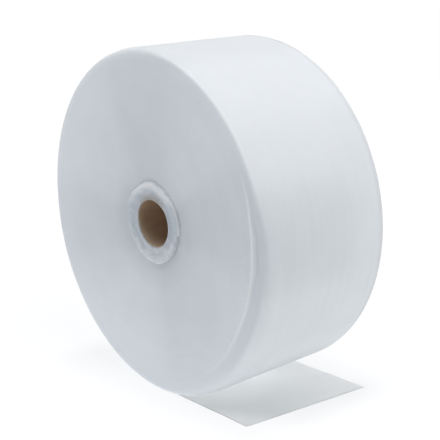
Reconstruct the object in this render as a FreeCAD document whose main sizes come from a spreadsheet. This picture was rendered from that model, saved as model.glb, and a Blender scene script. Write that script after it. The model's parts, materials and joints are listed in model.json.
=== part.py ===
"""A large roll of thin polyethylene foam wrap, wound on a cardboard core and standing on its rim.

Frame: millimetres, +Z up. The origin is on the core's axis, halfway along it. The axis runs along Y, and the
free end of the web lies on the floor towards +X. "Near" is the end at -Y, and "far" is the end at +Y.

Sub-parts:
  foam_wrap  every turn of the web as one solid: its stepped and dished ends, the crumpled first turns that
             cover the core's ends, the slipped outer turns, the flat spot it stands on and the free end
  core_tube  the cardboard tube, open right through
"""
import FreeCAD, Part
import math
import os

import Sketcher

SIZES = (
    # the roll
    ("roll_diameter", 550.0, "across the outermost turn"),
    ("web_width", 222.0, "width of the foam web, and of its free end"),
    ("sheet_thickness", 1.0, "thickness of the foam web"),
    ("turn_spread", 10.0, "how far the outer turns wander past the web's width, at each end"),
    ("turns_drop", 3.0, "how far the outer turns are centred under the core's axis"),
    ("dish_depth", 16.0, "how deep each end is dished at the core"),
    ("flat_depth", 2.6, "how far the roll is squashed flat where it stands"),
    ("near_shoulder", 10.0, "rounding of the near rim"),
    ("far_shoulder", 6.0, "rounding of the far rim"),
    # the steps that the turns make on each end
    ("band_count", 8, "steps on each end"),
    ("banded_radius", 232.0, "radius at which the steps end"),
    # the outer turns that have slipped inwards, on the lower right of the near end
    ("slip_margin", 31.5, "widest distance from the crease to the rim"),
    ("slip_offset", 30.0, "how far the crease's circle is off the roll's centre"),
    ("slip_depth", 12.0, "how far back the slipped turns are at the rim"),
    ("slip_angle", -35.0, "direction of the widest slip, in degrees up from +X"),
    # the core
    ("core_bore", 76.2, "diameter of the core's bore"),
    ("core_wall", 4.5, "wall of the cardboard tube"),
    ("core_inset", 3.0, "how far the crumpled first turns reach past each end of the core"),
    # the crumpled first turns
    ("collar_diameter", 132.0, "across the crumpled first turns"),
    ("collar_height", 4.0, "how far they stand out of the bottom of the dish"),
    ("collar_bevel", 2.0, "bevel of their outer edge"),
    ("mouth_clearance", 1.0, "how far they stay back from the bore, all round"),
    ("scallop_count", 9, "bites round their outer edge, at the near end"),
    ("scallop_radius", 11.0, "radius of a bite"),
    ("scallop_bite", 3.5, "how far a bite reaches in"),
    # the free end of the web
    ("tail_length", 206.0, "along the near edge, from under the core's axis to the cut"),
    ("tail_skew", 29.0, "how much longer the far edge is"),
)
UNEVEN_TURN = 137.5  # degrees from one scallop or step to the next, so that they make no pattern
STEP_UNEVENNESS = 0.2  # how far a step's radius is from even spacing, in steps
RIM_FACETS = 3  # flat bands round each rounded rim
CUT_MARGIN = 1.0  # how far a cutting shape stands out of what it cuts

doc = FreeCAD.newDocument("foam_wrap_roll")
sheet = doc.addObject("Spreadsheet::Sheet", "Sizes")
for row, (alias, value, meaning) in enumerate(SIZES, start=1):
    sheet.set(f"A{row}", meaning)
    sheet.set(f"B{row}", str(value))
    sheet.setAlias(f"B{row}", alias)
doc.recompute()

# Lengths that several features share, as expressions on the sheet.
ROLL_RADIUS = "Sizes.roll_diameter / 2"
INNER_TURNS_RADIUS = f"({ROLL_RADIUS} - Sizes.sheet_thickness)"
WEB_END = "(Sizes.web_width / 2)"
ROLL_END = f"({WEB_END} + Sizes.turn_spread)"
CORE_RADIUS = "(Sizes.core_bore / 2 + Sizes.core_wall)"
MOUTH_RADIUS = "(Sizes.core_bore / 2 + Sizes.mouth_clearance)"
COLLAR_RADIUS = "(Sizes.collar_diameter / 2)"
DISH_FLOOR = f"({ROLL_END} - Sizes.dish_depth)"
COLLAR_END = f"({DISH_FLOOR} + Sizes.collar_height)"
CORE_END = f"({COLLAR_END} - Sizes.core_inset)"
ROLL_CENTRE = "-Sizes.turns_drop"
FLOOR = f"(Sizes.flat_depth - {ROLL_RADIUS} - Sizes.turns_drop)"
WELL_PAST_THE_RIM = "Sizes.roll_diameter"

ALONG_Y = FreeCAD.Rotation(FreeCAD.Vector(1, 0, 0), -90)


def bind(thing, **expressions):
    """Ties a thing's properties to the sheet. X, Y and Z are its place."""
    for name, expression in expressions.items():
        path = f".Placement.Base.{name.lower()}" if name in "XYZ" else name
        thing.setExpression(path, expression)
    return thing


def disc(name, radius, start, width, x="0", z="0"):
    """A cylinder along Y, from y = start to y = start + width."""
    cylinder = doc.addObject("Part::Cylinder", name)
    cylinder.Placement = FreeCAD.Placement(FreeCAD.Vector(), ALONG_Y)
    return bind(cylinder, Radius=radius, Height=width, X=x, Y=start, Z=z)


def fused(name, shapes):
    union = doc.addObject("Part::MultiFuse", name)
    union.Shapes = shapes
    union.Refine = True
    return union


def cut(name, base, tool):
    difference = doc.addObject("Part::Cut", name)
    difference.Base = base
    difference.Tool = tool
    difference.Refine = True
    return difference


def on_plane(body, name, role):
    """A sketch on one of the body's own origin planes."""
    sketch = body.newObject("Sketcher::SketchObject", name)
    plane = next(f for f in body.Origin.OriginFeatures if f.Role == role)
    sketch.AttachmentSupport = [(plane, "")]
    sketch.MapMode = "FlatFace"
    return sketch


def spool(name, diameters, width):
    """A body padded evenly both ways along Y from circles about the Y axis."""
    body = doc.addObject("PartDesign::Body", name)
    sketch = on_plane(body, f"{name}Circles", "XZ_Plane")
    for index, diameter in enumerate(diameters):
        draft_radius = 100.0 / (index + 1)
        sketch.addGeometry(Part.Circle(FreeCAD.Vector(), FreeCAD.Vector(0, 0, 1), draft_radius))
        sketch.addConstraint(Sketcher.Constraint("Coincident", index, 3, -1, 1))
        driven = sketch.addConstraint(Sketcher.Constraint("Diameter", index, 2 * draft_radius))
        sketch.setExpression(f"Constraints[{driven}]", diameter)
    pad = body.newObject("PartDesign::Pad", f"{name}Pad")
    pad.Profile = sketch
    pad.Midplane = True
    bind(pad, Length=width)
    doc.recompute()
    return body


def turned(name, corners):
    """A body turned about the Y axis from an outline of straight lines, whose corners are (radius, y)."""
    body = doc.addObject("PartDesign::Body", name)
    sketch = on_plane(body, f"{name}Outline", "XY_Plane")
    draft = [FreeCAD.Vector(*(sheet.evalExpression(length) for length in corner)) for corner in corners]
    for index, start in enumerate(draft):
        sketch.addGeometry(Part.LineSegment(start, draft[(index + 1) % len(draft)]))
    for index, corner in enumerate(corners):
        before = (index - 1) % len(corners)
        sketch.addConstraint(Sketcher.Constraint("Coincident", before, 2, index, 1))
        for direction, value, expression in zip(("DistanceX", "DistanceY"), draft[index], corner):
            driven = sketch.addConstraint(Sketcher.Constraint(direction, -1, 1, index, 1, value))
            sketch.setExpression(f"Constraints[{driven}]", expression)
    revolution = body.newObject("PartDesign::Revolution", f"{name}Revolution")
    revolution.Profile = sketch
    revolution.ReferenceAxis = (sketch, ["V_Axis"])
    revolution.Angle = 360
    doc.recompute()
    return body


# The core, a plain tube.
core_tube = spool("CoreTube", [f"2 * {CORE_RADIUS}", "Sizes.core_bore"], f"2 * {CORE_END}")
core_tube.Label = "core_tube"

# All turns but the last, as wide as they wander. Each rim is rounded in facets that touch an arc.
FACET = 90 / (RIM_FACETS + 1)


def rim(end, shoulder):
    """The corners of one rim's facets, from the flat end out to the roll's side."""
    corners = []
    for number in range(RIM_FACETS + 1):
        angle = (number + 0.5) * FACET
        across = f"{shoulder} * (1 - sin({angle}) / cos({FACET / 2}))"
        along = f"{shoulder} * (1 - cos({angle}) / cos({FACET / 2}))"
        corners.append((f"{INNER_TURNS_RADIUS} - {across}", f"{end} * ({ROLL_END} - {along})"))
    return corners


inner_turns = turned(
    "InnerTurns",
    [
        (CORE_RADIUS, f"-{ROLL_END}"),
        *rim(-1, "Sizes.near_shoulder"),
        *reversed(rim(1, "Sizes.far_shoulder")),
        (CORE_RADIUS, ROLL_END),
    ],
)
bind(inner_turns, Z=ROLL_CENTRE)

# The slipped outer turns: outside an off-centre circle, the near end slopes back towards the rim.
SLOPE = "(Sizes.slip_margin / Sizes.slip_depth)"
crease = doc.addObject("Part::Cone", "Crease")
crease.Placement = FreeCAD.Placement(FreeCAD.Vector(), ALONG_Y)
crease_place = {
    "X": "-Sizes.slip_offset * cos(Sizes.slip_angle)",
    "Y": f"-{ROLL_END} - {CUT_MARGIN}",
    "Z": f"{ROLL_CENTRE} - Sizes.slip_offset * sin(Sizes.slip_angle)",
}
crease_depth = f"({CUT_MARGIN} + 1.5 * Sizes.slip_depth)"
crease_radius = f"({ROLL_RADIUS} - Sizes.slip_margin + Sizes.slip_offset - {CUT_MARGIN} * {SLOPE})"
bind(
    crease,
    Radius1=crease_radius,
    Radius2=f"{crease_radius} + {crease_depth} * {SLOPE}",
    Height=crease_depth,
    **crease_place,
)
slip_blank = disc(
    "SlipBlank", WELL_PAST_THE_RIM, crease_place["Y"], crease_depth, crease_place["X"], crease_place["Z"]
)
slipped_turns = cut("SlippedTurns", slip_blank, crease)


def under(name, top):
    """Everything under the height top, for cutting the flat spot."""
    block = doc.addObject("Part::Box", name)
    return bind(
        block,
        Length=f"2 * {WELL_PAST_THE_RIM}",
        Width=f"2 * {ROLL_END} + 2 * {CUT_MARGIN}",
        Height=ROLL_RADIUS,
        X=f"-{WELL_PAST_THE_RIM}",
        Y=f"-{ROLL_END} - {CUT_MARGIN}",
        Z=f"{top} - {ROLL_RADIUS}",
    )


squashed = under("UnderInnerTurns", f"{FLOOR} + Sizes.sheet_thickness")
wound = cut("Wound", inner_turns, fused("SlipAndSquash", [slipped_turns, squashed]))

# The last turn is only as wide as the web, so its edges show as a step inside each shoulder.
last_turn = cut(
    "LastTurn",
    disc("LastTurnBlank", ROLL_RADIUS, f"-{WEB_END}", "Sizes.web_width", z=ROLL_CENTRE),
    under("UnderLastTurn", FLOOR),
)

# The free end lies flat on the floor, and its cut isn't quite square.
tail = doc.addObject("Part::Wedge", "Tail")
bind(
    tail,
    Xmin="0",
    Xmax="Sizes.tail_length",
    X2min="0",
    X2max="Sizes.tail_length + Sizes.tail_skew",
    Ymin=f"-{WEB_END}",
    Ymax=WEB_END,
    Zmin=FLOOR,
    Zmax=f"{FLOOR} + Sizes.sheet_thickness",
    Z2min=FLOOR,
    Z2max=f"{FLOOR} + Sizes.sheet_thickness",
)
roll = fused("Roll", [wound, last_turn, tail])

# Each end is dished in steps, deepest at the core. Their centres drop outwards, as those of the turns do.
band_count = int(sheet.band_count)
steps = []
for end, end_name in ((-1, "Near"), (1, "Far")):
    for band in range(band_count):
        wobble = STEP_UNEVENNESS * math.sin(math.radians(UNEVEN_TURN * (band + end)))
        share = f"(({band + 1} + {wobble:.3f}) / Sizes.band_count)"
        depth = f"(Sizes.dish_depth * (1 - {band} / Sizes.band_count))"
        start = f"-{ROLL_END} - {CUT_MARGIN}" if end < 0 else f"{ROLL_END} - {depth}"
        steps.append(
            disc(
                f"{end_name}Step{band + 1}",
                f"{COLLAR_RADIUS} + (Sizes.banded_radius - {COLLAR_RADIUS}) * {share}",
                start,
                f"{depth} + {CUT_MARGIN}",
                z=f"{ROLL_CENTRE} * {share}",
            )
        )
dished = cut("Dished", roll, fused("Steps", steps))

# The crumpled first turns stand out of both ends and close over the core's ends, up to its bore.
COLLAR_SHOULDER = f"{COLLAR_RADIUS} - Sizes.collar_bevel"
COLLAR_SIDE = f"({COLLAR_END} - Sizes.collar_bevel)"
first_turns = turned(
    "FirstTurns",
    [
        (MOUTH_RADIUS, f"-{COLLAR_END}"),
        (COLLAR_SHOULDER, f"-{COLLAR_END}"),
        (COLLAR_RADIUS, f"-{COLLAR_SIDE}"),
        (COLLAR_RADIUS, COLLAR_SIDE),
        (COLLAR_SHOULDER, COLLAR_END),
        (MOUTH_RADIUS, COLLAR_END),
    ],
)
collared = fused("Collared", [dished, first_turns])

core_space = disc("CoreSpace", CORE_RADIUS, f"-{CORE_END}", f"2 * {CORE_END}")
mouth = disc("Mouth", MOUTH_RADIUS, f"-{COLLAR_END} - {CUT_MARGIN}", f"2 * {COLLAR_END} + 2 * {CUT_MARGIN}")
scallop_reach = f"({COLLAR_RADIUS} + Sizes.scallop_radius - Sizes.scallop_bite)"
scallops = [
    disc(
        f"Scallop{number + 1}",
        "Sizes.scallop_radius",
        f"-{COLLAR_END} - {CUT_MARGIN}",
        f"Sizes.collar_height + {CUT_MARGIN}",
        x=f"{scallop_reach} * cos({number * UNEVEN_TURN % 360})",
        z=f"{scallop_reach} * sin({number * UNEVEN_TURN % 360})",
    )
    for number in range(int(sheet.scallop_count))
]
foam_wrap = cut("FoamWrap", collared, fused("Openings", [core_space, mouth, *scallops]))
foam_wrap.Label = "foam_wrap"

doc.recompute()
for thing in doc.Objects:
    if {"Invalid", "Error"} & set(thing.State):
        raise RuntimeError(f"{thing.Name} failed: {thing.State}")
sub_parts = (foam_wrap, core_tube)
for sub_part in sub_parts:
    if sub_part.Shape.isNull() or not sub_part.Shape.isValid():
        raise RuntimeError(f"{sub_part.Label} has no valid shape")
    if len(sub_part.Shape.Solids) != 1:
        raise RuntimeError(f"{sub_part.Label} is not one solid")

os.makedirs("parts", exist_ok=True)
for sub_part in sub_parts:
    sub_part.Shape.exportStep(f"parts/{sub_part.Label}.step")
    print(f"{sub_part.Label}: {sub_part.Shape.Volume / 1e6:.3f} litres")
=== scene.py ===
"""A roll of thin white foam wrap on a cardboard core, standing on its rim with its free end laid out on the floor."""

import json
import math

import bpy
from mathutils import Matrix, Vector


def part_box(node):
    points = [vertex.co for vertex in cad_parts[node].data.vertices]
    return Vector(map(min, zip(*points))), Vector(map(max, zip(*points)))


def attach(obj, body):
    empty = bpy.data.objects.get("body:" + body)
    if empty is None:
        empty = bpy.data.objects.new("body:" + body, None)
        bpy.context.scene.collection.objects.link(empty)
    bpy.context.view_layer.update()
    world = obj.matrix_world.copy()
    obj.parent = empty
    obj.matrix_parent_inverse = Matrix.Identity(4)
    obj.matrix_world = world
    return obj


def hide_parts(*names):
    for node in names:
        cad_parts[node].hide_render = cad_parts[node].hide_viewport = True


MM = 0.001
TURN = 2.0 * math.pi

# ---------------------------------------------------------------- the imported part, and the sizes it gives

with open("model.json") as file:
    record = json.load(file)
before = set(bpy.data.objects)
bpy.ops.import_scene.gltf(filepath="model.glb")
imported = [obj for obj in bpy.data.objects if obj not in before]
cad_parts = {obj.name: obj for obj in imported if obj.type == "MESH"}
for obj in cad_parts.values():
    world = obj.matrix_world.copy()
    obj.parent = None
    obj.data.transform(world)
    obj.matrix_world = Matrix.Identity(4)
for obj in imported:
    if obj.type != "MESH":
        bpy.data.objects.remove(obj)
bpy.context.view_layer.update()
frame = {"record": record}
wrap_low, wrap_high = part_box("foam_wrap")
core_low, core_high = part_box("core_tube")
record = frame["record"]

ROLL_RADIUS = wrap_high.x
ROLL_DROP = ROLL_RADIUS - wrap_high.z            # the weight pulls the outer turns this far below the core
FLOOR = wrap_low.z
END = wrap_high.y                                # how far the proudest turns reach along the core
CORE_RADIUS = core_high.x
CORE_END = core_high.y
BORE_RADIUS = record["mounts"][0]["dims"]["r_mm"] * MM

# the web and how it is wound
WEB_END = END - 10 * MM                          # half the web's width
SHEET = 1.0 * MM
DISH_FLOOR = END - 16 * MM                       # the ends are dished: this is how far the first turns reach
BANDED_RADIUS = 236 * MM                         # and this is where the dish ends
NEAR_SHOULDER = 10 * MM
FAR_SHOULDER = 6 * MM
LIE = 0.25 * MM                                  # the roll rests this far up, on its own free end

# the outer turns that slipped back a little at the near end, behind a crease
CREASE_NARROW, CREASE_WIDE = 19 * MM, 32 * MM    # from the crease to the rim, above and below
SLIP_DEPTH = 8.5 * MM
SLIP_BEARING = math.radians(-1.0)                # they slipped most here
SLIP_SPREAD = math.radians(15.0)
LIP_HEIGHT = 1.5 * MM
LIP_WIDTH = 2.5 * MM

# the crumpled first turns that stand out round the core
MOUTH_RADIUS = BORE_RADIUS + 1.0 * MM
COLLAR_RADIUS = 65 * MM
COLLAR_HEIGHT = 3.4 * MM

# the free end
TAIL_LENGTH = 206 * MM
TAIL_SKEW = 29 * MM
TAIL_START = -20 * MM

# steps round each turned piece, and how close two points lie before they become one
ROLL_STEPS, COLLAR_STEPS, CORE_STEPS = 480, 300, 160
WELD = 0.02 * MM


# ---------------------------------------------------------------- wiring, for geometry trees and for materials


class Wiring:
    """Adds nodes to one tree and joins them, so that a rule or a finish reads as a few lines."""

    def __init__(self, tree):
        self.tree = tree

    def add(self, kind, inputs=(), out=0, **settings):
        node = self.tree.nodes.new(kind)
        for name, value in settings.items():
            setattr(node, name, value)
        for name, value in dict(inputs).items():
            self.feed(node.inputs[name], value)
        return node.outputs[out]

    def feed(self, socket, value):
        if isinstance(value, bpy.types.NodeSocket):
            self.tree.links.new(value, socket)
        else:
            socket.default_value = value

    def math(self, operation, *values):
        return self.add("ShaderNodeMath", dict(enumerate(values)), operation=operation)

    def chain(self, operation, values):
        total = values[0]
        for value in values[1:]:
            total = self.math(operation, total, value)
        return total

    def sum(self, *values):
        return self.chain("ADD", values)

    def times(self, *values):
        return self.chain("MULTIPLY", values)

    def less(self, a, b):
        return self.math("SUBTRACT", a, b)

    def centred(self, value):
        """A noise's value, which lies about a half, brought to lie about 0."""
        return self.less(value, 0.5)

    def length(self, a, b):
        return self.math("SQRT", self.sum(self.times(a, a), self.times(b, b)))

    def ramp(self, value, low, high, to_low=0.0, to_high=1.0, how="SMOOTHSTEP"):
        """value from low..high to to_low..to_high, held at both ends."""
        inputs = {0: value, 1: low, 2: high, 3: to_low, 4: to_high}
        return self.add("ShaderNodeMapRange", inputs, interpolation_type=how, clamp=True)

    def vector(self, x, y, z):
        return self.add("ShaderNodeCombineXYZ", {0: x, 1: y, 2: z})

    def parts(self, vector):
        node = self.tree.nodes.new("ShaderNodeSeparateXYZ")
        self.feed(node.inputs[0], vector)
        return node.outputs

    def scaled(self, vector, scale):
        inputs = {0: vector, "Scale": scale}
        return self.add("ShaderNodeVectorMath", inputs, operation="SCALE")

    def added(self, a, b):
        return self.add("ShaderNodeVectorMath", {0: a, 1: b}, operation="ADD")

    def noise(self, vector, scale, detail=2.0, roughness=0.5, out=0):
        inputs = {"Vector": vector, "Scale": scale, "Detail": detail, "Roughness": roughness}
        return self.add("ShaderNodeTexNoise", inputs, out)

    def bell(self, value, width):
        """1 where value is 0, falling to 0 on both sides over about twice the width."""
        ratio = self.math("DIVIDE", value, width)
        return self.math("EXPONENT", self.times(ratio, ratio, -1.0))

    def mix(self, factor, a, b):
        """From colour a to colour b."""
        inputs = {0: factor, 6: a, 7: b}
        return self.add("ShaderNodeMix", inputs, 2, data_type="RGBA")

    def from_axis(self, x, z):
        """The distance from the core's axis, the direction away from it, and that direction's two parts."""
        heading = self.add("ShaderNodeVectorMath", {0: self.vector(x, 0.0, z)}, operation="NORMALIZE")
        hx, _, hz = self.parts(heading)
        return self.length(x, z), heading, hx, hz

    def stored(self, geometry, name, value):
        """The geometry with this value kept on its points, for its material to read."""
        inputs = {"Geometry": geometry, "Name": name, "Value": value}
        return self.add("GeometryNodeStoreNamedAttribute", inputs, data_type="FLOAT", domain="POINT")

    def kept(self, name):
        """In a material: the value that a tree stored under this name."""
        return self.add("ShaderNodeAttribute", out="Fac", attribute_name=name)


def new_tree(name, kind, inputs, outputs):
    """A node group with named sockets, its wiring, and its input and output sockets by name."""
    tree = bpy.data.node_groups.new(name, kind)
    for label, socket, default in inputs:
        made = tree.interface.new_socket(name=label, in_out="INPUT", socket_type=socket)
        if default is not None:
            made.default_value = default
    for label, socket in outputs:
        tree.interface.new_socket(name=label, in_out="OUTPUT", socket_type=socket)
    given = tree.nodes.new("NodeGroupInput").outputs
    result = tree.nodes.new("NodeGroupOutput").inputs
    return tree, Wiring(tree), given, result


GEOMETRY, NUMBER, WHOLE = "NodeSocketGeometry", "NodeSocketFloat", "NodeSocketInt"
VECTOR, MATERIAL = "NodeSocketVector", "NodeSocketMaterial"


# ---------------------------------------------------------------- geometry trees


def turning_tree():
    """Turns a profile, whose points are at (radius, along, 0), about the core's axis into a closed skin."""
    inputs = [("Profile", GEOMETRY, None), ("Around", WHOLE, 64)]
    tree, w, given, result = new_tree("turn_about_core", "GeometryNodeTree", inputs, [("Mesh", GEOMETRY)])
    stations = w.add("GeometryNodeAttributeDomainSize", {0: given["Profile"]}, component="MESH")
    grid = w.add("GeometryNodeMeshGrid", {
        "Size X": 1.0, "Size Y": 1.0, "Vertices X": w.sum(given["Around"], 1), "Vertices Y": stations})
    x, y, _ = w.parts(w.add("GeometryNodeInputPosition"))
    row = w.math("ROUND", w.times(w.sum(y, 0.5), w.less(stations, 1)))
    angle = w.times(w.sum(x, 0.5), TURN)
    point = w.add("GeometryNodeSampleIndex", {
        "Geometry": given["Profile"], "Value": w.add("GeometryNodeInputPosition"), "Index": row},
        data_type="FLOAT_VECTOR", domain="POINT")
    radius, along, _ = w.parts(point)
    place = w.vector(w.times(radius, w.math("COSINE", angle)), along, w.times(radius, w.math("SINE", angle)))
    turned = w.add("GeometryNodeSetPosition", {"Geometry": grid, "Position": place})
    closed = w.add("GeometryNodeMergeByDistance", {"Geometry": turned, "Distance": WELD})
    facing_out = w.add("GeometryNodeFlipFaces", {"Mesh": closed})
    w.feed(result["Mesh"], facing_out)
    return tree


def piece_tree(name, wholes, numbers):
    """A tree that makes one piece: a profile and named sizes go in, and its mesh in its material comes out."""
    inputs = [("Profile", GEOMETRY, None)] + [(label, WHOLE, 1) for label in wholes]
    inputs += [(label, NUMBER, 0.0) for label in numbers] + [("Material", MATERIAL, None)]
    made = new_tree(name, "GeometryNodeTree", inputs, [("Mesh", GEOMETRY)])
    made[0].is_modifier = True
    return made


def turned_skin(w, turning, given):
    """The closed skin that the turning tree makes from this tree's profile."""
    skin = w.add("GeometryNodeGroup", {}, node_tree=turning)
    w.feed(skin.node.inputs["Profile"], given["Profile"])
    w.feed(skin.node.inputs["Around"], given["Around"])
    return skin


def finished(w, geometry, material, flat=None):
    """The end of every tree: smooth apart from what stays flat, realised, and in its material."""
    smooth = w.add("GeometryNodeSetShadeSmooth", {"Geometry": geometry})
    if flat is not None:
        smooth = w.add("GeometryNodeSetShadeSmooth", {"Geometry": smooth, "Selection": flat, "Shade Smooth": False})
    real = w.add("GeometryNodeRealizeInstances", {"Geometry": smooth})
    return w.add("GeometryNodeSetMaterial", {"Geometry": real, "Material": material})


ROLL_SIZES = (
    "Drop", "Web End", "Floor", "Flat Softness", "Radius", "Crease Narrow", "Crease Wide", "Slip Depth",
    "Slip Bearing", "Slip Spread", "Steep Depth", "Steep Width", "Rounding", "Upper Rounding", "Rounding Width",
    "Lip Height", "Lip Width", "End", "Shoulder Radius", "Shoulder", "Squareness", "Unevenness", "Slack",
    "Slack Rim", "Seed")


def roll_tree(turning):
    """All the turns of the web as one skin: turned from the profile, dropped, slipped back at the near end,
    a little uneven from turn to turn, and squashed flat where the roll stands."""
    tree, w, given, result = piece_tree("wound_roll", ("Around",), ROLL_SIZES)
    skin = turned_skin(w, turning, given)
    x, y, z = w.parts(w.add("GeometryNodeInputPosition"))
    radius, heading, hx, hz = w.from_axis(x, z)
    bearing = w.math("ARCTAN2", hz, hx)
    which_end = w.math("SIGN", y)
    half = given["Web End"]

    def between(first, last, to_low=0.0, to_high=1.0):
        """From to_low at the first bearing, in degrees, to to_high at the last."""
        return w.ramp(bearing, math.radians(first), math.radians(last), to_low, to_high)

    def by_near_edge(full, none):
        """1 as far in from the web's near edge as full, and 0 from none on."""
        return w.ramp(y, w.less(full, half), w.less(none, half), 1.0, 0.0)

    # the outer turns hang lower on the core than the first ones, which are tight on it
    low = w.less(z, w.times(given["Drop"], w.ramp(radius, 70 * MM, 200 * MM)))

    # ends: turn by turn, the web's edge wanders in and out
    end = w.ramp(w.math("ABSOLUTE", y), w.less(half, 12 * MM), w.sum(half, 0.5 * MM))
    loose_turns = w.ramp(radius, 50 * MM, 75 * MM)
    turn_by_turn = w.vector(w.times(radius, 42.0), w.sum(given["Seed"], which_end), 0.0)
    wander = w.noise(w.added(w.scaled(heading, 0.35), turn_by_turn), 1.0, 3.0, 0.55)
    uneven = w.times(w.centred(wander), given["Unevenness"])
    proud = w.times(uneven, end, w.times(loose_turns, which_end))

    # near end: past the crease the outer turns step back sharply, then slope
    margin = between(-32.0, 6.0, given["Crease Wide"], given["Crease Narrow"])
    margin = w.less(margin, between(9.0, 20.0, 0.0, 3 * MM))
    past = w.less(radius, w.less(given["Radius"], margin))
    sharp = w.times(between(32.0, 12.0), between(-72.0, -28.0))                 # 1 where the crease is sharp
    slipped = w.times(w.bell(w.less(bearing, given["Slip Bearing"]), given["Slip Spread"]), given["Slip Depth"])
    reach = w.math("DIVIDE", w.math("SMOOTH_MAX", past, 0.0, 4 * MM), margin)
    slope = w.times(w.math("POWER", reach, 1.3), w.times(slipped, 0.7))
    drop_back = w.sum(given["Steep Depth"], w.times(slipped, 0.3))
    steep = w.times(w.ramp(past, -0.3 * MM, given["Steep Width"]), sharp, drop_back, between(5.0, 20.0, 1.0, 0.35))

    # lower down their rim is rounder, and so is the whole near rim on its other side
    lower = w.times(between(-24.0, 2.0, 1.0, 0.0), between(-78.0, -52.0))
    upper = w.times(w.ramp(hx, 0.35, -0.1), w.ramp(hz, -0.35, 0.05))
    to_rim = w.ramp(w.less(given["Radius"], radius), given["Rounding Width"], 1 * MM, how="LINEAR")
    rounded = w.sum(w.times(lower, given["Rounding"]), w.times(upper, given["Upper Rounding"]))
    back = w.sum(slope, steep, w.times(to_rim, to_rim, rounded))

    # the last turn before the crease stands up as a thin lip
    near_face = by_near_edge(2 * MM, 12 * MM)
    lip = w.times(w.bell(past, given["Lip Width"]), w.times(sharp, between(-50.0, -20.0, 0.45, 1.0)))
    raised = w.times(lip, given["Lip Height"], near_face)

    # above the crease the near rim is squarer than lower down
    across = w.math("DIVIDE", w.less(radius, given["Shoulder Radius"]), given["Shoulder"])
    across = w.ramp(across, 0.0, 1.0, how="LINEAR")
    outward = w.math("DIVIDE", w.less(w.less(given["Shoulder"], given["End"]), y), given["Shoulder"])
    outward = w.ramp(outward, 0.0, 1.0, how="LINEAR")
    squarer = w.times(w.ramp(hz, -0.1, 0.3), w.ramp(hx, -0.1, 0.35), given["Shoulder"],
                      w.math("GREATER_THAN", across, 0.0))
    wider = w.times(squarer, w.less(w.math("POWER", across, given["Squareness"]), across),
                    w.math("GREATER_THAN", outward, 0.0))
    fuller = w.times(squarer, w.less(w.math("POWER", outward, given["Squareness"]), outward))
    along = w.sum(y, proud, w.times(back, by_near_edge(12 * MM, 75 * MM)), w.times(w.sum(raised, fuller), -1.0))

    # side: a soft web is never wound to quite the same size from edge to edge, though it is tight on the core
    edge_to_edge = w.vector(0.0, w.times(y, 28.0), w.sum(given["Seed"], 7.0))
    loose = w.noise(w.added(w.scaled(heading, 0.6), edge_to_edge), 1.0, 3.0, 0.5)
    swell = w.times(w.centred(loose), w.times(given["Slack"], w.less(1.0, end)))
    slipping = w.math("DIVIDE", slipped, given["Slip Depth"])
    slack = w.times(by_near_edge(4 * MM, 55 * MM), slipping, given["Slack Rim"])
    loosened = w.times(w.less(swell, slack), w.ramp(radius, 80 * MM, 200 * MM))
    grown = w.added(w.vector(x, 0.0, low), w.scaled(heading, w.sum(loosened, wider)))
    gx, _, gz = w.parts(grown)

    # and where it stands, it is flat
    flat = w.math("SMOOTH_MAX", gz, given["Floor"], given["Flat Softness"])
    marked = w.stored(skin, "lip", w.times(lip, near_face))
    marked = w.stored(marked, "slipped", w.times(w.ramp(past, 0.0, 6 * MM), sharp, near_face))
    placed = w.add("GeometryNodeSetPosition", {"Geometry": marked, "Position": w.vector(gx, along, flat)})
    w.feed(result["Mesh"], finished(w, placed, given["Material"]))
    return tree


COLLAR_SIZES = (
    "Face", "Side", "Inner Radius", "Outer Radius", "Height", "Step Bearing", "Step", "Crumple", "Fold Size",
    "Core End", "Droop", "Trim", "Seed")


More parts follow.
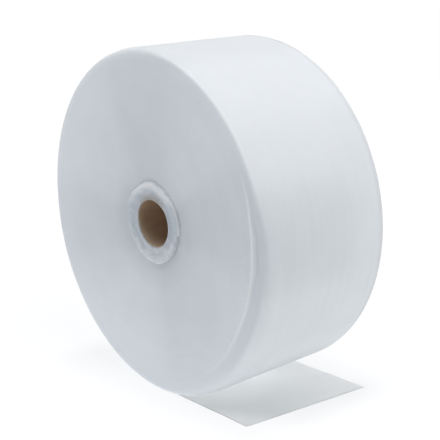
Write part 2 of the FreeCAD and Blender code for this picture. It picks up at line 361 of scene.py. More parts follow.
def collar_tree(turning):
    """The first turns, crumpled round the core's mouth: a rolled rim that ends in a step, folded and creased."""
    tree, w, given, result = piece_tree("crumpled_first_turns", ("Around",), COLLAR_SIZES)
    skin = turned_skin(w, turning, given)
    place = w.add("GeometryNodeInputPosition")
    x, y, z = w.parts(place)
    radius, heading, hx, hz = w.from_axis(x, z)
    share = w.ramp(radius, given["Inner Radius"], given["Outer Radius"], how="LINEAR")
    out = w.times(y, given["Side"])                                     # how far out of the roll's end
    lift = w.ramp(out, given["Face"], w.sum(given["Face"], given["Height"]), how="LINEAR")

    # the web starts here: the outline grows round the core, and steps in past the web's own end
    turned = w.math("ARCTAN2", hz, hx)
    phase = w.math("FRACT", w.math("DIVIDE", w.less(turned, given["Step Bearing"]), TURN))
    spiral = w.times(w.less(0.5, phase), given["Step"])
    rim = w.noise(w.added(w.scaled(heading, 1.6), w.vector(0.0, given["Seed"], 0.0)), 1.0, 3.0, 0.55)
    small_rim = w.noise(w.added(w.scaled(heading, 6.0), w.vector(0.0, given["Seed"], 3.0)), 1.0, 2.0, 0.5)
    trim = w.times(w.sum(w.ramp(hz, 0.5, 1.0), w.ramp(hx, 0.5, 0.95)), given["Trim"])
    outline = w.sum(spiral, w.times(w.centred(rim), 9 * MM), w.times(w.centred(small_rim), 4 * MM),
                    w.times(trim, -1.0))
    spread = w.times(outline, w.ramp(share, 0.25, 0.95))

    # the folds: sharp valleys and rolled ridges that lie round the core, crossed by creases
    def ridged(noise):
        return w.less(1.0, w.math("ABSOLUTE", w.less(w.times(noise, 4.0), 2.0)))

    per = w.math("DIVIDE", 1.0, given["Fold Size"])
    along_fold = w.added(w.scaled(heading, 2.2), w.vector(w.times(radius, 150.0), given["Seed"], 0.0))
    folds = ridged(w.noise(along_fold, 1.0, 2.5, 0.6))
    creases = ridged(w.noise(w.added(place, w.vector(given["Seed"], 0.0, 0.0)), per, 3.0, 0.6))
    rise = w.times(w.sum(w.times(folds, 0.7), w.times(creases, 0.6)), given["Crumple"])
    push = w.times(rise, lift, w.times(given["Side"], w.ramp(share, 0.0, 0.2, 0.35, 1.0)))
    jitter = w.noise(w.added(place, w.vector(0.0, given["Seed"], 9.0)), w.times(per, 0.8), 2.0, 0.5, out=1)
    shift = w.scaled(w.added(jitter, w.vector(-0.5, -0.5, -0.5)), w.times(lift, 3.5 * MM))
    sx, _, sz = w.parts(shift)
    calm = w.ramp(share, 0.0, 0.3)

    # over the top of the mouth the foam hangs down a little in front of the core
    past_core = w.ramp(out, given["Core End"], w.sum(given["Core End"], 0.8 * MM))
    hanging = w.times(w.ramp(hz, 0.50, 1.0), past_core, w.ramp(share, 0.0, 0.35, 1.0, 0.0))
    droop = w.times(hanging, w.times(given["Droop"], -1.0))
    moved = w.added(w.scaled(heading, w.sum(spread, droop)), w.vector(w.times(sx, calm), push, w.times(sz, calm)))
    marked = w.stored(skin, "share", share)
    placed = w.add("GeometryNodeSetPosition", {"Geometry": marked, "Offset": moved})
    w.feed(result["Mesh"], finished(w, placed, given["Material"]))
    return tree


def core_tree(turning):
    """The cardboard tube, turned from its profile."""
    tree, w, given, result = piece_tree("cardboard_core", ("Around",), ())
    w.feed(result["Mesh"], finished(w, turned_skin(w, turning, given), given["Material"]))
    return tree


SHEET_SIZES = ("Start", "Length", "Skew", "Half Width", "Floor", "Thickness", "Lift", "Seed")


def free_end_tree():
    """The free end: a flat sheet on the floor, cut askew, that lifts a little here and there and thins out towards
    its cut edges."""
    tree, w, given, result = piece_tree("free_end_sheet", ("Columns", "Rows"), SHEET_SIZES)
    grid = w.add("GeometryNodeMeshGrid", {
        "Size X": 1.0, "Size Y": 1.0, "Vertices X": given["Columns"], "Vertices Y": given["Rows"]})
    u, v, _ = w.parts(w.add("GeometryNodeInputPosition"))
    u, v = w.sum(u, 0.5), w.sum(v, 0.5)
    cut = w.sum(given["Length"], w.times(given["Skew"], v))
    x = w.sum(given["Start"], w.times(w.less(cut, given["Start"]), u))
    y = w.times(w.less(w.times(v, 2.0), 1.0), given["Half Width"])

    def lifted(x, y):
        """The height of the sheet's underside, which lifts only in front of the roll."""
        waves = w.noise(w.vector(w.times(x, 11.0), w.times(y, 8.0), given["Seed"]), 1.0, 2.0, 0.45)
        in_front = w.times(given["Lift"], w.ramp(x, 60 * MM, 120 * MM))
        return w.sum(given["Floor"], w.times(w.ramp(waves, 0.42, 0.8), in_front))

    laid = w.add("GeometryNodeSetPosition", {"Geometry": grid, "Position": w.vector(x, y, lifted(x, y))})
    top = w.add("GeometryNodeExtrudeMesh", {
        "Mesh": laid, "Offset": w.vector(0.0, 0.0, 1.0), "Offset Scale": given["Thickness"], "Individual": False},
        mode="FACES")
    x, y, z = w.parts(w.add("GeometryNodeInputPosition"))
    v = w.sum(0.5, w.math("DIVIDE", y, w.times(given["Half Width"], 2.0)))
    cut = w.sum(given["Length"], w.times(given["Skew"], v))
    from_edge = w.math("MINIMUM", w.less(cut, x), w.less(given["Half Width"], w.math("ABSOLUTE", y)))
    thinner = w.ramp(from_edge, 0.0, 32 * MM, 0.06, 1.0, how="LINEAR")
    ground = lifted(x, y)
    pressed = w.sum(ground, w.times(w.less(z, ground), thinner))
    pressed = w.add("GeometryNodeSetPosition", {"Geometry": top, "Position": w.vector(x, y, pressed)})
    under = w.add("GeometryNodeFlipFaces", {"Mesh": laid})
    both = w.add("GeometryNodeJoinGeometry")
    w.tree.links.new(under, both.node.inputs[0])
    w.tree.links.new(pressed, both.node.inputs[0])
    sheet = w.add("GeometryNodeMergeByDistance", {"Geometry": both, "Distance": WELD})
    w.feed(result["Mesh"], finished(w, sheet, given["Material"], flat=top.node.outputs["Side"]))
    return tree


# ---------------------------------------------------------------- making pieces from trees


def profile_mesh(name, points):
    """A closed line of points at (radius, along, 0)."""
    mesh = bpy.data.meshes.new(name)
    mesh.from_pydata([(r, y, 0.0) for r, y in points] + [(points[0][0], points[0][1], 0.0)], [], [])
    return mesh


def made_piece(name, tree, values, points=((0.0, 0.0),)):
    """Runs a tree once with these values and keeps what it makes as a plain mesh."""
    maker = bpy.data.objects.new(name + "_maker", profile_mesh(name + "_profile", points))
    bpy.context.scene.collection.objects.link(maker)
    modifier = maker.modifiers.new("maker", "NODES")
    modifier.node_group = tree
    sockets = {item.name: item.identifier for item in tree.interface.items_tree if item.in_out == "INPUT"}
    for label, value in values.items():
        modifier[sockets[label]] = value
    graph = bpy.context.evaluated_depsgraph_get()
    mesh = bpy.data.meshes.new_from_object(maker.evaluated_get(graph), depsgraph=graph)
    maker.modifiers.remove(modifier)
    bpy.data.objects.remove(maker)
    mesh.name = name
    piece = bpy.data.objects.new(name, mesh)
    bpy.context.scene.collection.objects.link(piece)
    return piece


def span(start, stop, count):
    """count numbers from start up to, but not counting, stop."""
    return [start + (stop - start) * i / count for i in range(count)]


def dish(radius):
    """How far out the turns at this radius reach, between the first turns and the proudest ones."""
    share = min(max((radius - COLLAR_RADIUS) / (BANDED_RADIUS - COLLAR_RADIUS), 0.0), 1.0)
    return DISH_FLOOR + (END - DISH_FLOOR) * share ** 0.85


def shoulder(size, count):
    """A rounded corner from the end's flat to the side, as (radius, along) points."""
    inner = ROLL_RADIUS - SHEET - size
    return [(inner + size * math.sin(t), END - size + size * math.cos(t)) for t in span(0.0, math.pi / 2, count)]


def roll_profile():
    """The outline of half the roll's section, from the first turn at the near end out and round to the far end."""
    last_turn = ROLL_RADIUS - SHEET                      # the last turn lies on the one before it, one sheet proud

    def end(shoulder_size, corner, steps):
        first_turns = 60 * MM
        face = span(CORE_RADIUS + 0.3 * MM, first_turns, 4) + span(first_turns, BANDED_RADIUS, steps[0])
        face += span(BANDED_RADIUS, last_turn - shoulder_size, steps[1])
        line = [(r, dish(r)) for r in face] + shoulder(shoulder_size, corner)
        if END - shoulder_size < WEB_END + MM:
            return line + [(last_turn, WEB_END), (last_turn + 0.55 * MM, WEB_END - 2 * MM),
                           (ROLL_RADIUS, WEB_END - 5 * MM)]
        line += [(last_turn, y) for y in span(END - shoulder_size, WEB_END, 3)]
        return line + [(last_turn, WEB_END + 0.02 * MM), (last_turn + 0.1 * MM, WEB_END),
                       (last_turn + 0.6 * MM, WEB_END - 0.02 * MM), (last_turn + 0.9 * MM, WEB_END - 0.12 * MM),
                       (ROLL_RADIUS, WEB_END - 0.4 * MM)]
    near = [(r, -y) for r, y in end(NEAR_SHOULDER, 12, (36, 34))]
    far = [(r, y) for r, y in end(FAR_SHOULDER, 9, (34, 8))]
    side = [(ROLL_RADIUS, y) for y in span(-WEB_END + 9 * MM, WEB_END - 2 * MM, 18)]
    return near + side + far[::-1]


# the first turns' section: share of the way out from the mouth's edge to the rim, and share of the full height
COLLAR_SECTION = (
    (0.00, 0.0), (0.00, 0.35), (0.01, 0.66), (0.05, 0.80), (0.11, 0.76), (0.19, 0.62), (0.28, 0.54),
    (0.37, 0.52), (0.46, 0.55), (0.55, 0.62), (0.64, 0.72), (0.73, 0.84), (0.81, 0.94), (0.88, 1.00),
    (0.94, 0.98), (0.99, 0.88), (1.03, 0.70), (1.06, 0.48), (1.09, 0.24), (1.12, 0.05), (1.14, 0.0))


def collar_profile(side):
    """A low rounded ring: the mouth, a thin inner lip, a valley, and a rolled outer edge. Its foot is sunk in the
    roll's end, and further in it lies on the core's cut end."""
    sunk = 0.8 * MM
    face = DISH_FLOOR - sunk
    seat, foot = CORE_END + 0.2 * MM, CORE_RADIUS + 0.4 * MM
    finer = []
    for (a, h), (b, k) in zip(COLLAR_SECTION, COLLAR_SECTION[1:]):
        finer += [(a + (b - a) * i / 3, h + (k - h) * i / 3) for i in range(3)]
    finer.append(COLLAR_SECTION[-1])
    width = COLLAR_RADIUS - MOUTH_RADIUS
    line = [(MOUTH_RADIUS + width * a, face + (COLLAR_HEIGHT + sunk) * h) for a, h in finer]
    line = [(MOUTH_RADIUS, seat)] + [(r, y) for r, y in line if r > foot or y > seat] + [(foot, face), (foot, seat)]
    line = [(r, side * y) for r, y in line]
    return line if side < 0 else line[::-1]


def core_profile():
    """The tube's wall, with its cut ends just eased."""
    ease = 0.35 * MM
    corners = [(BORE_RADIUS, 1), (CORE_RADIUS, 1), (CORE_RADIUS, -1), (BORE_RADIUS, -1)]
    points = []
    for radius, end in corners:
        inward = 1 if radius == BORE_RADIUS else -1
        arc = [(radius + inward * ease * (1 - math.cos(t)), end * (CORE_END - ease * (1 - math.sin(t))))
               for t in (0.0, math.pi / 4, math.pi / 2)]
        points += arc if (radius == BORE_RADIUS) == (end == 1) else arc[::-1]
    line = []
    for (r0, y0), (r1, y1) in zip(points, points[1:] + points[:1]):
        steps = 24 if abs(y1 - y0) > CORE_END else 1                    # the long runs, for round and even faces
        line += [(r0 + (r1 - r0) * i / steps, y0 + (y1 - y0) * i / steps) for i in range(steps)]
    return line[::-1]


# ---------------------------------------------------------------- finishes


def grain_group():
    """Thin foam: fine closed cells and soft clouding. Gives a clouding from 0 to 1 and a height in metres."""
    inputs = [("Place", VECTOR, (0, 0, 0)), ("Cell Size", NUMBER, 0.0015), ("Cell Height", NUMBER, 0.0001),
              ("Cloud Size", NUMBER, 0.04)]
    outputs = [("Clouding", NUMBER), ("Height", NUMBER)]
    tree, w, given, result = new_tree("foam_grain", "ShaderNodeTree", inputs, outputs)
    cell_scale = w.math("DIVIDE", 1.0, given["Cell Size"])
    cloud_scale = w.math("DIVIDE", 1.0, given["Cloud Size"])
    cells = w.add("ShaderNodeTexVoronoi", {"Vector": given["Place"], "Scale": cell_scale}, feature="SMOOTH_F1")
    fine = w.noise(given["Place"], w.times(cell_scale, 0.35), 2.0)
    clouds = w.noise(given["Place"], cloud_scale, 4.0, 0.55)
    w.feed(result["Clouding"], w.ramp(clouds, 0.3, 0.7, how="LINEAR"))
    w.feed(result["Height"], w.times(w.sum(w.times(cells, 0.7), w.times(fine, 0.6)), given["Cell Height"]))
    return tree


def new_material(name):
    """A material with its Principled shader, its wiring, and the object coordinates."""
    material = bpy.data.materials.new(name)
    material.use_nodes = True
    w = Wiring(material.node_tree)
    shader = material.node_tree.nodes["Principled BSDF"]
    place = w.add("ShaderNodeTexCoord", out="Object")
    return material, w, shader, place


def grain(w, group, place, **values):
    """One use of the foam grain, with its own sizes."""
    node = w.tree.nodes.new("ShaderNodeGroup")
    node.node_tree = group
    w.feed(node.inputs["Place"], place)
    for label, value in values.items():
        w.feed(node.inputs[label.replace("_", " ")], value)
    return node.outputs


def bump(w, height):
    """The shading of a surface that stands up by this height, in metres."""
    return w.add("ShaderNodeBump", {"Height": height, "Strength": 1.0, "Distance": 1.0})


def set_foam(shader):
    """What all the foam has in common: satin, a little light passing through it."""
    shader.inputs["Roughness"].default_value = 0.55
    shader.inputs["IOR"].default_value = 1.45
    shader.inputs["Specular IOR Level"].default_value = 0.25
    shader.inputs["Subsurface Weight"].default_value = 0.35
    shader.inputs["Subsurface Radius"].default_value = (1.0, 1.05, 1.1)
    shader.inputs["Subsurface Scale"].default_value = 0.012
    shader.inputs["Sheen Weight"].default_value = 0.05


# The foam's colours. Towards the core and where light can't reach between turns it is painted grey and blue as shade;
# the rim, lip and cell colours are painted highlights, and the colours under the first turns are painted shadow.
FACE_SHADED, FACE_LIT = (0.655, 0.69, 0.74, 1.0), (0.80, 0.835, 0.885, 1.0)
DULL_WEB, CLEAR_WEB = (0.785, 0.82, 0.859, 1.0), (0.855, 0.885, 0.918, 1.0)
SHEET_DARKEST, SHEET_PALEST = (0.585, 0.611, 0.624, 1.0), (0.768, 0.788, 0.803, 1.0)
CRUMPLED_DARK, CRUMPLED_PALE = (0.49, 0.545, 0.61, 1.0), (0.665, 0.70, 0.75, 1.0)
RIM_HIGHLIGHT, RIM_EDGE_HIGHLIGHT = (0.82, 0.85, 0.90, 1.0), (0.90, 0.925, 0.96, 1.0)
LIP_HIGHLIGHT, CELL_GLINT = (0.90, 0.92, 0.945, 1.0), (0.97, 0.975, 0.985, 1.0)
UNDER_FIRST_TURNS, UNDER_STEP = (0.50, 0.53, 0.58, 1.0), (0.44, 0.47, 0.52, 1.0)
SHADE_OVER_MOUTH = (0.16, 0.11, 0.07, 1.0)

# Painted light and shade in sectors: where the foam is made paler or greyer, to follow the measured tone of the
# photographed roll: bearing in degrees, cosine of half the width, and how much paler; on the side also where along
# the core it starts and is full.
FACE_LIGHT_SECTORS = ((10.0, 0.9, -0.33), (50.0, 0.9, 0.14), (85.0, 0.8, -0.14), (140.0, 0.8, 0.19), (188.0, 0.9, -0.27),
                (250.0, 0.8, 0.33))
SIDE_LIGHT_SECTORS = ((82.0, 0.93, -0.05, -0.9, -0.5), (3.0, 0.94, -0.07, 0.09, 0.02), (-27.0, 0.96, 0.015, -0.9, -0.5),
                (-54.0, 0.94, 0.07, -0.095, -0.045), (-60.0, 0.92, -0.05, -0.08, -0.105))


def wound_foam(group):
    """The roll: turn edges on its ends, and streaks along the web on its side, with painted light and shade on both.
    """
    material, w, shader, place = new_material("foam_wound")
    set_foam(shader)
    x, y, z = w.parts(place)
    radius, heading, hx, hz = w.from_axis(x, w.sum(z, ROLL_DROP))
    which_end = w.math("SIGN", y)
    slumped = w.times(w.ramp(hz, 0.05, -0.2), w.ramp(hx, 0.2, 0.5))         # where the rim is rounder
    reach = w.sum(radius, w.times(slumped, 5.5 * MM))
    ends = w.ramp(reach, ROLL_RADIUS - 9 * MM, ROLL_RADIUS - 1.5 * MM, 1.0, 0.0)
    side = w.less(1.0, ends)
    foam = grain(w, group, place, Cell_Size=1.6 * MM, Cell_Height=0.05 * MM, Cloud_Size=55 * MM)
    clouding = w.centred(foam["Clouding"])

    turns = w.added(w.scaled(heading, 0.5), w.vector(w.times(radius, 120.0), which_end, 0.0))
    coarse = w.noise(turns, 1.0, 4.0, 0.6)
    fine_turns = w.added(w.scaled(heading, 0.8), w.vector(w.times(radius, 700.0), 0.0, which_end))
    fine_turns = w.noise(fine_turns, 1.0, 2.0)
    streaks = w.noise(w.added(w.scaled(heading, 1.2), w.vector(0.0, w.times(y, 130.0), 0.0)), 1.0, 4.0, 0.6)

    def towards(bearing):
        """1 at this bearing, in degrees, and less away from it."""
        return w.sum(w.times(hx, math.cos(math.radians(bearing))), w.times(hz, math.sin(math.radians(bearing))))

    # the ends: painted paler outwards and sector by sector as light and shade, painted shade close round the core,
    # and painted light on the upper left rim
    painted_face_shade = w.times(w.ramp(radius, 60 * MM, 270 * MM, 0.0, 1.0, how="LINEAR"), 0.9)
    for bearing, narrow, paler in FACE_LIGHT_SECTORS:
        painted_face_shade = w.sum(painted_face_shade, w.ramp(towards(bearing), narrow, 1.0, 0.0, paler))
    upper_left = w.times(w.ramp(hx, 0.3, -0.2), w.ramp(hz, -0.2, 0.2))
    painted_rim_light = w.times(w.ramp(radius, 254 * MM, 267 * MM), upper_left)
    painted_core_shade = w.times(w.ramp(radius, 70 * MM, 115 * MM, 1.0, 0.0), w.ramp(hz, 0.5, 0.9, 1.0, 0.2),
                    w.ramp(towards(150.0), 0.6, 0.95, 1.0, 1.6))
    painted_core_shade_right = w.times(w.ramp(radius, 85 * MM, 135 * MM, 1.0, 0.0), w.ramp(towards(5.0), 0.85, 1.0))
    painted_face_tone = w.sum(1.0, w.times(painted_rim_light, 0.05), w.times(painted_core_shade, -0.07), w.times(painted_core_shade_right, -0.05))
    face = w.mix(w.sum(painted_face_shade, w.times(w.centred(coarse), 0.16), w.times(clouding, 0.18)), FACE_SHADED, FACE_LIT)
    face = w.scaled(face, painted_face_tone)

    # the side: streaked along the web except on top, with painted light and shade in sectors, and painted shade along
    # its far edge
    painted_side_tone = 1.0
    for bearing, narrow, paler, none_at, full_at in SIDE_LIGHT_SECTORS:
        sector = w.times(w.ramp(towards(bearing), narrow, 1.0, 0.0, paler), w.ramp(y, none_at, full_at))
        painted_side_tone = w.sum(sector, painted_side_tone)
    painted_side_tone = w.sum(painted_side_tone, w.ramp(y, WEB_END - 4 * MM, WEB_END - 1 * MM, 0.0, -0.06))
    streaky = w.times(w.centred(streaks), w.ramp(hz, 0.3, 0.75, 1.0, 0.25))
    web = w.mix(w.sum(0.5, w.times(streaky, 0.9), w.times(clouding, 0.25)), DULL_WEB, CLEAR_WEB)
    web = w.scaled(web, painted_side_tone)

    # the turns that slipped back are painted greyer, as shade in the step behind the lip, and the lip before them is
    # painted pale as a highlight
    slipped, lip = w.kept("slipped"), w.kept("lip")
    face = w.mix(w.times(slipped, w.ramp(hz, -0.25, 0.0, 0.34, 0.05)), face, FACE_SHADED)
    face = w.mix(w.times(lip, 0.75), face, LIP_HIGHLIGHT)

    # painted glints: tiny cells that catch the light, on the turns inside the lip
    cells = w.add("ShaderNodeTexVoronoi", {"Vector": place, "Scale": 230.0}, feature="F1")
    chosen = w.math("GREATER_THAN", w.parts(cells.node.outputs["Color"])[0], 0.25)
    cell_glints = w.times(w.ramp(cells, 0.14, 0.32, 1.0, 0.0), chosen, w.ramp(hx, 0.45, 0.75))
    cell_glints = w.times(cell_glints, w.times(w.ramp(radius, 190 * MM, 236 * MM), w.ramp(slipped, 0.0, 0.2, 1.0, 0.0)))
    cell_glints = w.times(cell_glints, w.times(w.ramp(hz, -0.65, -0.45), w.ramp(hz, 0.14, -0.06, 0.0, 0.5)))
    face = w.mix(cell_glints, face, CELL_GLINT)

    # the first turns stand out a little and keep the light off the turns below and beside them
    below = w.times(w.ramp(hz, -0.15, -0.6), w.ramp(hx, -0.4, 0.2))
    under_turns = w.times(w.bell(w.less(radius, 67 * MM), 6 * MM), below)
    face = w.mix(w.times(under_turns, 0.45), face, UNDER_FIRST_TURNS)
    under_step = w.times(w.bell(w.less(radius, 66 * MM), 5 * MM), w.ramp(towards(-14.0), 0.990, 0.999))
    face = w.mix(w.times(under_step, 0.5), face, UNDER_STEP)
    w.feed(shader.inputs["Base Color"], w.mix(side, face, web))
    end_height = w.sum(w.times(coarse, 0.5 * MM), w.times(fine_turns, 0.16 * MM))
    side_height = w.times(streaks, 0.25 * MM)
    height = w.sum(w.times(end_height, ends), w.times(side_height, side), foam["Height"])
    w.feed(shader.inputs["Normal"], bump(w, height))
    return material


def laid_foam(group):
    """The free end: one thickness of the same web, thin enough that the floor's white comes through it. Painted light
    makes it paler where it has just left the roll and towards its far edge, and paler still past a shallow fold
    across its near corner, a fold that is only painted, not shaped."""
    material, w, shader, place = new_material("foam_laid")
    set_foam(shader)
    shader.inputs["Roughness"].default_value = 0.4
    shader.inputs["IOR"].default_value = 1.15
    shader.inputs["Transmission Weight"].default_value = 0.9
    foam = grain(w, group, place, Cell_Size=1.6 * MM, Cell_Height=0.05 * MM, Cloud_Size=60 * MM)
    x, y, _ = w.parts(place)
    streaks = w.noise(w.vector(w.times(x, 5.0), w.times(y, 130.0), 0.0), 1.0, 4.0, 0.6)
    # painted light: paler where the sheet has just left the roll, and towards its far edge
    painted_nip_light = w.ramp(x, 80 * MM, 170 * MM, 0.5, 0.0)
    spread = w.ramp(w.sum(w.times(y, 5.2), painted_nip_light, 0.32), 0.03, 1.0, 0.03, 1.0, how="LINEAR")
    # painted light past a shallow fold across the near corner, which the sheet's shape doesn't have
    from_fold = w.less(w.sum(y, 105 * MM), w.times(w.less(x, 100 * MM), 0.55))
    painted_fold_light = w.ramp(from_fold, -50 * MM, 0.0, 0.65, 0.0)
    tint = w.sum(spread, painted_fold_light, w.times(w.centred(foam["Clouding"]), 0.10), w.times(w.centred(streaks), 0.14))
    web = w.mix(tint, SHEET_DARKEST, SHEET_PALEST)
    # painted light near the roll, where the roll's shadow falls on the sheet
    painted_light_by_roll = w.times(w.ramp(x, 80 * MM, 200 * MM, 0.23, 0.07, how="LINEAR"),
                         w.ramp(w.math("ABSOLUTE", w.sum(y, 10 * MM)), 40 * MM, 115 * MM, 1.0, 0.5))
    w.feed(shader.inputs["Base Color"], w.scaled(web, w.sum(painted_light_by_roll, 1.0)))
    w.feed(shader.inputs["Normal"], bump(w, w.sum(foam["Height"], w.times(streaks, 0.1 * MM))))
    return material


def crumpled_foam(group):
    """The crumpled first turns: pale on the rolled rim and round the mouth, glassy and blue-grey in the fold between.
    The rim's paleness is painted highlight, and the fold is painted darker as shade."""
    material, w, shader, place = new_material("foam_crumpled")
    set_foam(shader)
    shader.inputs["Roughness"].default_value = 0.42
    shader.inputs["Specular IOR Level"].default_value = 0.4
    foam = grain(w, group, place, Cell_Size=2.2 * MM, Cell_Height=0.08 * MM, Cloud_Size=16 * MM)
    x, y, z = w.parts(place)
    radius, _, hx, hz = w.from_axis(x, z)
    share = w.kept("share")                                              # 0 at the mouth, 1 at the rim

    # the fold between mouth and rim, painted darker as shade except low down, with patches and lines; the top is
    # painted paler as light, the lower outer part paler and the right side darker, as painted light and shade
    wander = w.times(w.centred(w.noise(place, 45.0, 2.0, 0.5)), 12 * MM)
    fold = w.times(w.bell(w.less(w.sum(radius, wander), 50 * MM), 6.5 * MM), w.ramp(z, -45 * MM, -20 * MM))
    patches = w.centred(w.noise(place, 85.0, 3.0, 0.6))
    pale_lines = w.bell(w.less(w.noise(place, 95.0, 2.0, 0.5), 0.52), 0.016)
    dark_lines = w.bell(w.centred(w.noise(w.added(place, w.vector(0.3, 0.7, 0.2)), 80.0, 2.0, 0.5)), 0.016)
    top = w.ramp(hz, 0.45, 0.95)
    bottom = w.times(w.ramp(hz, -0.7, -0.2, 0.4, 0.0), w.ramp(share, 0.4, 0.7))
    painted_right_shade = w.ramp(w.sum(w.times(hx, 0.99), w.times(hz, 0.12)), 0.8, 1.0)
    tint = w.sum(0.42, w.times(fold, -0.45), w.times(patches, 2.2), w.times(top, 0.45), bottom,
                 w.times(pale_lines, 0.4), w.times(dark_lines, -0.4), w.times(painted_right_shade, -0.4))
    skin = w.mix(tint, CRUMPLED_DARK, CRUMPLED_PALE)

    # painted highlights on the rolled rim, palest over the top and at its right, and along its very edge
    upper = w.ramp(w.sum(w.times(hx, -0.1), hz), 0.45, 0.85)
    right = w.times(w.ramp(hz, 0.25, 0.6), w.ramp(hx, -0.1, 0.3))
    rolled = w.sum(w.times(w.bell(w.less(share, 0.88), 0.18), w.times(upper, 0.75)),
                   w.times(w.ramp(share, 0.88, 0.98), right))
    skin = w.mix(rolled, skin, RIM_HIGHLIGHT)
    skin = w.mix(w.times(w.ramp(share, 0.93, 1.0), w.ramp(hz, -0.5, -0.1, 0.0, 0.5)), skin, RIM_EDGE_HIGHLIGHT)

    # painted shade over the top of the mouth, and a little at its left, in the board's dark brown, where the foam
    # hangs over it
    painted_mouth_shade = w.sum(w.times(w.ramp(hz, 0.55, 0.95), 0.62), w.ramp(hx, -0.6, -0.95, 0.0, 0.15))
    skin = w.mix(w.times(w.ramp(share, 0.0, 0.5, 1.0, 0.0), painted_mouth_shade), skin, SHADE_OVER_MOUTH)
    w.feed(shader.inputs["Base Color"], skin)
    wrinkles = w.noise(place, 260.0, 3.0, 0.6)
    w.feed(shader.inputs["Normal"], bump(w, w.sum(foam["Height"], w.times(wrinkles, 0.45 * MM))))
    return material


DARK_BOARD, LIGHT_BOARD = (0.235, 0.153, 0.097, 1.0), (0.49, 0.355, 0.245, 1.0)
BOARD_LIT_BOTTOM, BOARD_SEAM = (0.60, 0.475, 0.365, 1.0), (0.08, 0.05, 0.03, 1.0)


def kraft_board():
    """Unbleached board, wound on a slant, with the plies' seams and long fibres, and painted light in the bore."""
    material, w, shader, place = new_material("kraft_board")
    shader.inputs["Roughness"].default_value = 0.72
    shader.inputs["Specular IOR Level"].default_value = 0.3
    x, y, z = w.parts(place)
    _, heading, _, _ = w.from_axis(x, z)
    angle = w.math("DIVIDE", w.math("ARCTAN2", z, x), TURN)
    wind = w.sum(angle, w.math("DIVIDE", y, 130 * MM))
    seam = w.bell(w.centred(w.math("FRACT", wind)), 0.006)
    fibres = w.noise(w.added(w.scaled(heading, 9.0), w.vector(0.0, w.times(y, 420.0), 0.0)), 1.0, 4.0, 0.6)
    blotches = w.noise(place, 60.0, 3.0, 0.5)
    board = w.mix(w.sum(w.times(fibres, 0.7), w.times(blotches, 0.4), -0.1), DARK_BOARD, LIGHT_BOARD)
    # painted light: paler deeper in the bore, where little light reaches
    painted_deep_light = w.ramp(w.math("ABSOLUTE", y), 55 * MM, 95 * MM, 1.0, 0.0)
    board = w.scaled(board, w.sum(1.0, w.times(painted_deep_light, 0.4)))
    # painted light on the bore's lower wall, where light falls in through the mouth
    painted_lit_bottom = w.ramp(z, -34 * MM, 8 * MM, 0.70, 0.0)                       # along the bottom
    board = w.mix(painted_lit_bottom, board, BOARD_LIT_BOTTOM)
    w.feed(shader.inputs["Base Color"], w.mix(w.times(seam, 0.6), board, BOARD_SEAM))
    w.feed(shader.inputs["Normal"], bump(w, w.less(w.times(fibres, 0.12 * MM), w.times(seam, 0.25 * MM))))
    return material


# ---------------------------------------------------------------- the roll and its pieces

turning = turning_tree()
foam_grain = grain_group()
wound, laid, crumpled, board = wound_foam(foam_grain), laid_foam(foam_grain), crumpled_foam(foam_grain), kraft_board()

foam_roll = made_piece("foam_roll", roll_tree(turning), {
    "Around": ROLL_STEPS, "Drop": ROLL_DROP, "Web End": WEB_END, "Floor": FLOOR + LIE, "Flat Softness": 1.2 * MM,
    "Radius": ROLL_RADIUS, "Crease Narrow": CREASE_NARROW, "Crease Wide": CREASE_WIDE,
    "Slip Depth": SLIP_DEPTH, "Slip Bearing": SLIP_BEARING, "Slip Spread": SLIP_SPREAD,
    "Steep Depth": 1.2 * MM, "Steep Width": 5 * MM,
    "Rounding": 9 * MM, "Upper Rounding": 2 * MM, "Rounding Width": 20 * MM,
    "Lip Height": LIP_HEIGHT, "Lip Width": LIP_WIDTH,
    "End": END, "Shoulder Radius": ROLL_RADIUS - SHEET - NEAR_SHOULDER, "Shoulder": NEAR_SHOULDER, "Squareness": 0.5,
    "Unevenness": 1.6 * MM, "Slack": 0.8 * MM, "Slack Rim": 5 * MM, "Seed": 4.0, "Material": wound}, roll_profile())
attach(foam_roll, "root")
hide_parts("foam_wrap")

free_end = made_piece("free_end", free_end_tree(), {
    "Start": TAIL_START, "Length": TAIL_LENGTH, "Skew": TAIL_SKEW, "Half Width": WEB_END, "Floor": FLOOR,
    "Thickness": SHEET, "Lift": 1.2 * MM, "Seed": 2.0, "Columns": 120, "Rows": 110, "Material": laid})
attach(free_end, "root")
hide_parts("foam_wrap")

collars = collar_tree(turning)
for name, side, step_at, seed in (("near_first_turns", -1, -9.0, 3.0), ("far_first_turns", 1, 140.0, 11.0)):
    collar = made_piece(name, collars, {
        "Around": COLLAR_STEPS, "Face": DISH_FLOOR - 0.5 * MM, "Side": float(side), "Inner Radius": MOUTH_RADIUS,
        "Outer Radius": COLLAR_RADIUS, "Height": 3 * MM, "Step Bearing": math.radians(step_at), "Step": 6 * MM,
        "Crumple": 1.5 * MM, "Fold Size": 13 * MM, "Core End": CORE_END, "Droop": 2.5 * MM, "Trim": 3 * MM,
        "Seed": seed, "Material": crumpled}, collar_profile(side))
    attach(collar, "root")
    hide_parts("foam_wrap")

core = made_piece("core", core_tree(turning), {"Around": CORE_STEPS, "Material": board}, core_profile())
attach(core, "root")
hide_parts("core_tube")


# ---------------------------------------------------------------- floor, light and camera


WHITE = (1.0, 1.0, 1.0, 1.0)
TABLE_REACH = 14.0                                                      # half the table's width
TABLE_GLOW = 0.50
# where the table throws more light up at the roll: x, y, width, strength
TABLE_POOLS = ((-0.55, -0.50, 0.30, 0.32), (0.0, -0.45, 0.30, 0.44), (0.65, 0.45, 0.35, 0.56))


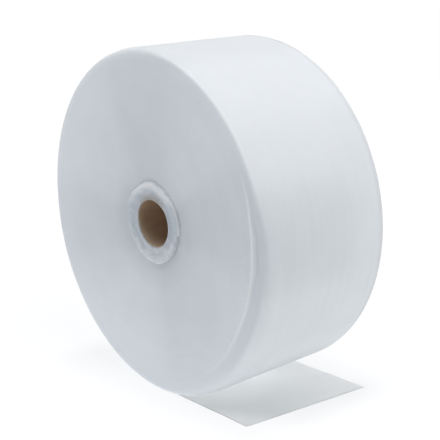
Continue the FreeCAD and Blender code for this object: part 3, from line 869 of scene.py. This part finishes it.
def table_shine(w, x, y):
    """What lights the roll from below: an even glow with a few brighter pools."""
    strength = TABLE_GLOW
    for pool_x, pool_y, width, brighter in TABLE_POOLS:
        distance = w.length(w.less(x, pool_x), w.less(y, pool_y))
        strength = w.sum(w.times(w.bell(distance, width), brighter), strength)
    paint = w.add("ShaderNodeBsdfDiffuse", {"Color": (0.50, 0.50, 0.50, 1.0)})
    lit = w.add("ShaderNodeEmission", {"Color": (0.97, 0.99, 1.0, 1.0), "Strength": strength})
    return w.add("ShaderNodeAddShader", {0: paint, 1: lit})


def table_seen(w, x, y):
    """What the eye sees: white far off, and close round the roll and its free end a little dimmer, a painted shadow,
    most of all by the cut edge."""
    far = w.ramp(w.length(x, y), 0.6, 1.6)
    off_x = w.math("MAXIMUM", w.less(w.math("ABSOLUTE", w.less(x, 10 * MM)), 210 * MM), 0.0)
    off_y = w.math("MAXIMUM", w.less(w.math("ABSOLUTE", y), WEB_END), 0.0)
    # painted shadow close round the roll and its free end
    close_by = w.ramp(w.length(off_x, off_y), 0.0, 95 * MM, 1.0, 0.0)
    middle = w.ramp(w.math("ABSOLUTE", w.less(y, 30 * MM)), 40 * MM, 130 * MM, 1.0, 0.0)
    by_cut = w.times(w.ramp(x, 180 * MM, 220 * MM), middle)
    dimmer = w.times(close_by, w.sum(0.075, w.times(by_cut, 0.075)))
    colour = w.scaled(w.mix(far, (0.90, 0.91, 0.925, 1.0), WHITE), w.less(1.0, dimmer))
    glow = w.add("ShaderNodeEmission", {"Color": colour, "Strength": 1.0})
    shadowed = w.add("ShaderNodeBsdfDiffuse", {"Color": (0.17, 0.165, 0.155, 1.0)})
    return w.add("ShaderNodeAddShader", {0: shadowed, 1: glow})


def stage_floor():
    """A white, lit table top. To the eye it shows white, with only a pale shadow, partly cast and partly painted; the
    object gets its glow.
    """
    mesh = bpy.data.meshes.new("floor")
    s, z = TABLE_REACH, FLOOR - 0.1 * MM
    mesh.from_pydata([(-s, -s, z), (s, -s, z), (s, s, z), (-s, s, z)], [], [(0, 1, 2, 3)])
    floor = bpy.data.objects.new("floor", mesh)
    bpy.context.scene.collection.objects.link(floor)
    material = bpy.data.materials.new("white_floor")
    material.use_nodes = True
    w = Wiring(material.node_tree)
    material.node_tree.nodes.remove(material.node_tree.nodes["Principled BSDF"])
    x, y, _ = w.parts(w.add("ShaderNodeTexCoord", out="Object"))
    rays = w.tree.nodes.new("ShaderNodeLightPath").outputs
    seen = w.math("MAXIMUM", rays["Is Camera Ray"], rays["Is Glossy Ray"])
    surface = w.add("ShaderNodeMixShader", {0: seen, 1: table_shine(w, x, y), 2: table_seen(w, x, y)})
    white = w.add("ShaderNodeEmission", {"Color": WHITE, "Strength": 1.0})          # through the thin free end
    surface = w.add("ShaderNodeMixShader", {0: rays["Is Transmission Ray"], 1: surface, 2: white})
    w.feed(material.node_tree.nodes["Material Output"].inputs["Surface"], surface)
    mesh.materials.append(material)


def stage_world():
    """A dim room with a broad window on the near side, and white behind everything."""
    world = bpy.data.worlds.new("room")
    bpy.context.scene.world = world
    world.use_nodes = True
    w = Wiring(world.node_tree)
    world.node_tree.nodes.remove(world.node_tree.nodes["Background"])
    _, y, _ = w.parts(w.add("ShaderNodeTexCoord", out="Generated"))
    window = w.times(w.math("MAXIMUM", w.times(y, -1.0), 0.0), 0.27)
    room = w.add("ShaderNodeBackground", {"Color": (0.955, 0.98, 1.0, 1.0), "Strength": window})
    white = w.add("ShaderNodeBackground", {"Color": WHITE, "Strength": 1.0})
    rays = w.tree.nodes.new("ShaderNodeLightPath").outputs
    seen = w.math("MAXIMUM", rays["Is Glossy Ray"], rays["Is Transmission Ray"])
    seen = w.math("MAXIMUM", rays["Is Camera Ray"], seen)
    surface = w.add("ShaderNodeMixShader", {0: seen, 1: room, 2: white})
    w.feed(world.node_tree.nodes["World Output"].inputs["Surface"], surface)


def lamp(name, place, size, power):
    """A square soft light that faces the roll."""
    data = bpy.data.lights.new(name, "AREA")
    data.shape, data.size, data.energy = "SQUARE", size, power
    light = bpy.data.objects.new(name, data)
    bpy.context.scene.collection.objects.link(light)
    light.location = place
    light.rotation_mode = "QUATERNION"
    light.rotation_quaternion = Vector(place).to_track_quat("Z", "Y")


def stage_camera():
    """Looks down a little on the near end and the side, held slightly askew."""
    data = bpy.data.cameras.new("camera")
    data.sensor_width, data.lens = 36.0, 80.09
    data.clip_start, data.clip_end = 0.05, 60.0
    camera = bpy.data.objects.new("camera", data)
    bpy.context.scene.collection.objects.link(camera)
    azimuth, elevation, distance = math.radians(51.953), math.radians(13.509), 5.799 * ROLL_RADIUS
    back = Vector((math.sin(azimuth) * math.cos(elevation), -math.cos(azimuth) * math.cos(elevation),
                   math.sin(elevation)))
    ahead = -back
    right = ahead.cross(Vector((0.0, 0.0, 1.0))).normalized()
    up = right.cross(ahead)
    for axis, angle in (("up", -0.758), ("right", -0.524), ("ahead", 3.466)):
        turn = Matrix.Rotation(math.radians(angle), 3, {"up": up, "right": right, "ahead": ahead}[axis])
        ahead, right, up = turn @ ahead, turn @ right, turn @ up
    facing = Matrix((right, up, -ahead)).transposed().to_4x4()
    camera.matrix_world = Matrix.Translation(back * distance + Vector((0.0, 0.0, -ROLL_DROP))) @ facing
    bpy.context.scene.camera = camera


bpy.context.scene.view_settings.view_transform = "Standard"
stage_floor()
stage_world()
lamp("overhead", (0.0, 0.0, 2.2), 2.4, 22.8)
lamp("over_right", (1.4, 0.3, 1.9), 1.8, 30.8)
lamp("left_front", (-1.6, -1.8, 0.9), 1.4, 11.8)
stage_camera()
